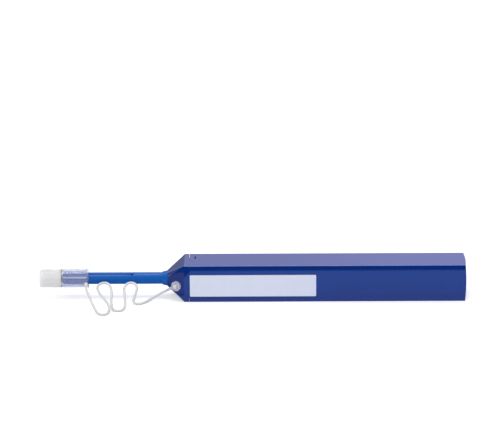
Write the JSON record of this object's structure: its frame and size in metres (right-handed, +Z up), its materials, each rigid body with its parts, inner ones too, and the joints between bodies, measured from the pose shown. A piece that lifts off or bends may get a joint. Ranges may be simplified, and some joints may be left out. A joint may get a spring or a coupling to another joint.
{
  "type": "fibre connector cleaning pen",
  "caption": "Pen for cleaning fibre optic connectors: push-action nozzle with rotating thread tip, thread reels in a square case, clear guide cap with dust cover on a looped tether.",
  "frame": {"origin": "middle of the pen's footprint, on the flat bottom of the case", "axes": "+X along the pen from the nozzle to the tail, +Z up from the bottom face, +Y towards the far side; the label is on the -Y face"},
  "size_m": [0.2018, 0.0368, 0.018],
  "materials": {
    "case_plastic": "glossy dark blue ABS",
    "nozzle_plastic": "glossy mid blue acetal",
    "label_film": "pale satin label, bare",
    "inner_plastic": "natural white moulded plastic",
    "pin_steel": "bright steel",
    "tether_plastic": "translucent white moulded plastic",
    "ring_rubber": "black rubber",
    "thread": "white microfibre thread",
    "mouth_plastic": "white acetal",
    "gear_plastic": "cream acetal",
    "clear_plastic": "clear moulded plastic, slightly hazy",
    "frosted_plastic": "frosted pale translucent plastic"
  },
  "bodies": {
    "case": {"case_shell": "case_plastic", "nose_cone": "case_plastic", "nose_collar": "nozzle_plastic", "end_plug": "case_plastic", "label": "label_film", "drive_rack": "inner_plastic", "cam_pin": "pin_steel", "tether_eyelet": "tether_plastic", "tether_rear": "tether_plastic", "tether_rivet": "tether_plastic"},
    "carriage": {"chassis_near": "inner_plastic", "chassis_far": "inner_plastic", "nozzle_holder": "inner_plastic", "friction_ring": "ring_rubber", "supply_axle": "pin_steel", "take_up_axle": "pin_steel", "thread_guides": "pin_steel", "brake_spring": "pin_steel", "return_spring": "pin_steel", "feed_thread": "thread", "return_thread": "thread"},
    "nozzle": {"nozzle_tube": "nozzle_plastic", "nozzle_mouth": "mouth_plastic", "tether_middle": "tether_plastic"},
    "cap": {"guide_cap": "clear_plastic", "tether_lug": "tether_plastic", "tether_front": "tether_plastic"},
    "cover": {"dust_cover": "frosted_plastic"},
    "rod": {"tip_rod": "mouth_plastic", "rod_thread": "thread", "tip_spring": "pin_steel"},
    "tip": {"cleaning_tip": "mouth_plastic", "tip_thread": "thread"},
    "rotor": {"cam_rotor": "gear_plastic"},
    "pinion": {"drive_pinion": "gear_plastic"},
    "take_up": {"take_up_reel": "gear_plastic", "take_up_pack": "thread"},
    "supply": {"supply_reel": "gear_plastic", "supply_pack": "thread"}
  },
  "joints": [
    {"name": "push", "type": "slide", "parent": "case", "child": "carriage", "axis": [1, 0, 0], "range_m": [0, 0.008], "stiffness_N_per_m": 400, "springref_m": -0.007, "deforming": ["return_spring", "tether_rear", "feed_thread", "return_thread"]},
    {"name": "nozzle_draw", "type": "slide", "parent": "carriage", "child": "nozzle", "axis": [-1, 0, 0], "range_m": [0, 0.015], "deforming": ["tether_middle"]},
    {"name": "cap_pull", "type": "slide", "parent": "nozzle", "child": "cap", "axis": [-1, 0, 0], "range_m": [0, 0.02], "deforming": ["tether_front"]},
    {"name": "cover_pull", "type": "slide", "parent": "cap", "child": "cover", "axis": [-1, 0, 0], "range_m": [0, 0.012]},
    {"name": "rod_turn", "type": "hinge", "parent": "nozzle", "child": "rod", "pos_m": [-0.03, 0, 0.009], "axis": [1, 0, 0], "range_deg": [0, 180.1]},
    {"name": "tip_press", "type": "slide", "parent": "rod", "child": "tip", "axis": [1, 0, 0], "range_m": [0, 0.001], "stiffness_N_per_m": 250, "springref_m": -0.001, "deforming": ["tip_spring"]},
    {"name": "rotor_turn", "type": "hinge", "parent": "carriage", "child": "rotor", "pos_m": [0.013, 0, 0.009], "axis": [1, 0, 0], "range_deg": [0, 180.1]},
    {"name": "pinion_turn", "type": "hinge", "parent": "carriage", "child": "pinion", "pos_m": [0.0478, 0, 0.009], "axis": [0, -1, 0], "range_deg": [0, 114.7]},
    {"name": "take_up_turn", "type": "hinge", "parent": "carriage", "child": "take_up", "pos_m": [0.0478, 0, 0.009], "axis": [0, -1, 0], "range_deg": [0, 114.7]},
    {"name": "supply_turn", "type": "hinge", "parent": "carriage", "child": "supply", "pos_m": [0.0348, 0, 0.009], "axis": [0, -1, 0], "range_deg": [0, 79.6]}
  ],
  "couplings": [
    {"joint": "rod_turn", "follows": "push", "rad_per_m": 392.7},
    {"joint": "rotor_turn", "follows": "push", "rad_per_m": 392.7},
    {"joint": "pinion_turn", "follows": "push", "rad_per_m": 250},
    {"joint": "take_up_turn", "follows": "push", "rad_per_m": 250},
    {"joint": "supply_turn", "follows": "push", "rad_per_m": 173.5}
  ]
}
